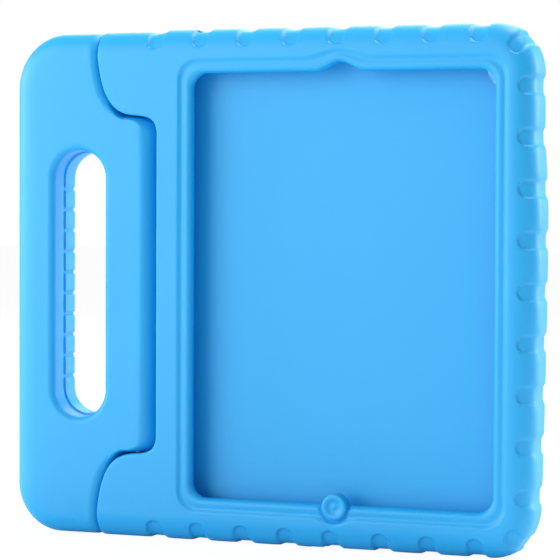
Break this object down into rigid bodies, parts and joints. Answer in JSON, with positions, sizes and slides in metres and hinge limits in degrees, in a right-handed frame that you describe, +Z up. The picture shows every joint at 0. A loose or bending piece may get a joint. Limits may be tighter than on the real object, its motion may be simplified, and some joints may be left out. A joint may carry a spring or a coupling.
{
  "type": "kids tablet case",
  "caption": "Thick foam tablet case with a finger-notched rim, an open front window and a slotted carrying handle that folds back as a stand.",
  "frame": {"origin": "middle of the bounding box at its bottom, on the surface that the case stands on", "axes": "+Z up, the window faces -Y, the handle is at -X"},
  "size_m": [0.2838, 0.0248, 0.261],
  "materials": {
    "blue_foam": "matte closed-cell foam with a fine skin",
    "pin_plastic": "smooth moulded plastic",
    "sleeve_plastic": "smooth moulded plastic"
  },
  "bodies": {
    "case": {"case_shell": "blue_foam", "ear_sleeve_upper": "sleeve_plastic", "ear_sleeve_lower": "sleeve_plastic"},
    "handle": {"handle": "blue_foam", "pivot_pin_upper": "pin_plastic", "pivot_pin_lower": "pin_plastic", "handle_sleeve_upper": "sleeve_plastic", "handle_sleeve_lower": "sleeve_plastic"}
  },
  "joints": [
    {"name": "handle_fold", "type": "hinge", "parent": "case", "child": "handle", "pos_m": [-0.07955, 0.00385, 0.1305], "axis": [0, 0, -1], "range_deg": [0, 100]}
  ]
}
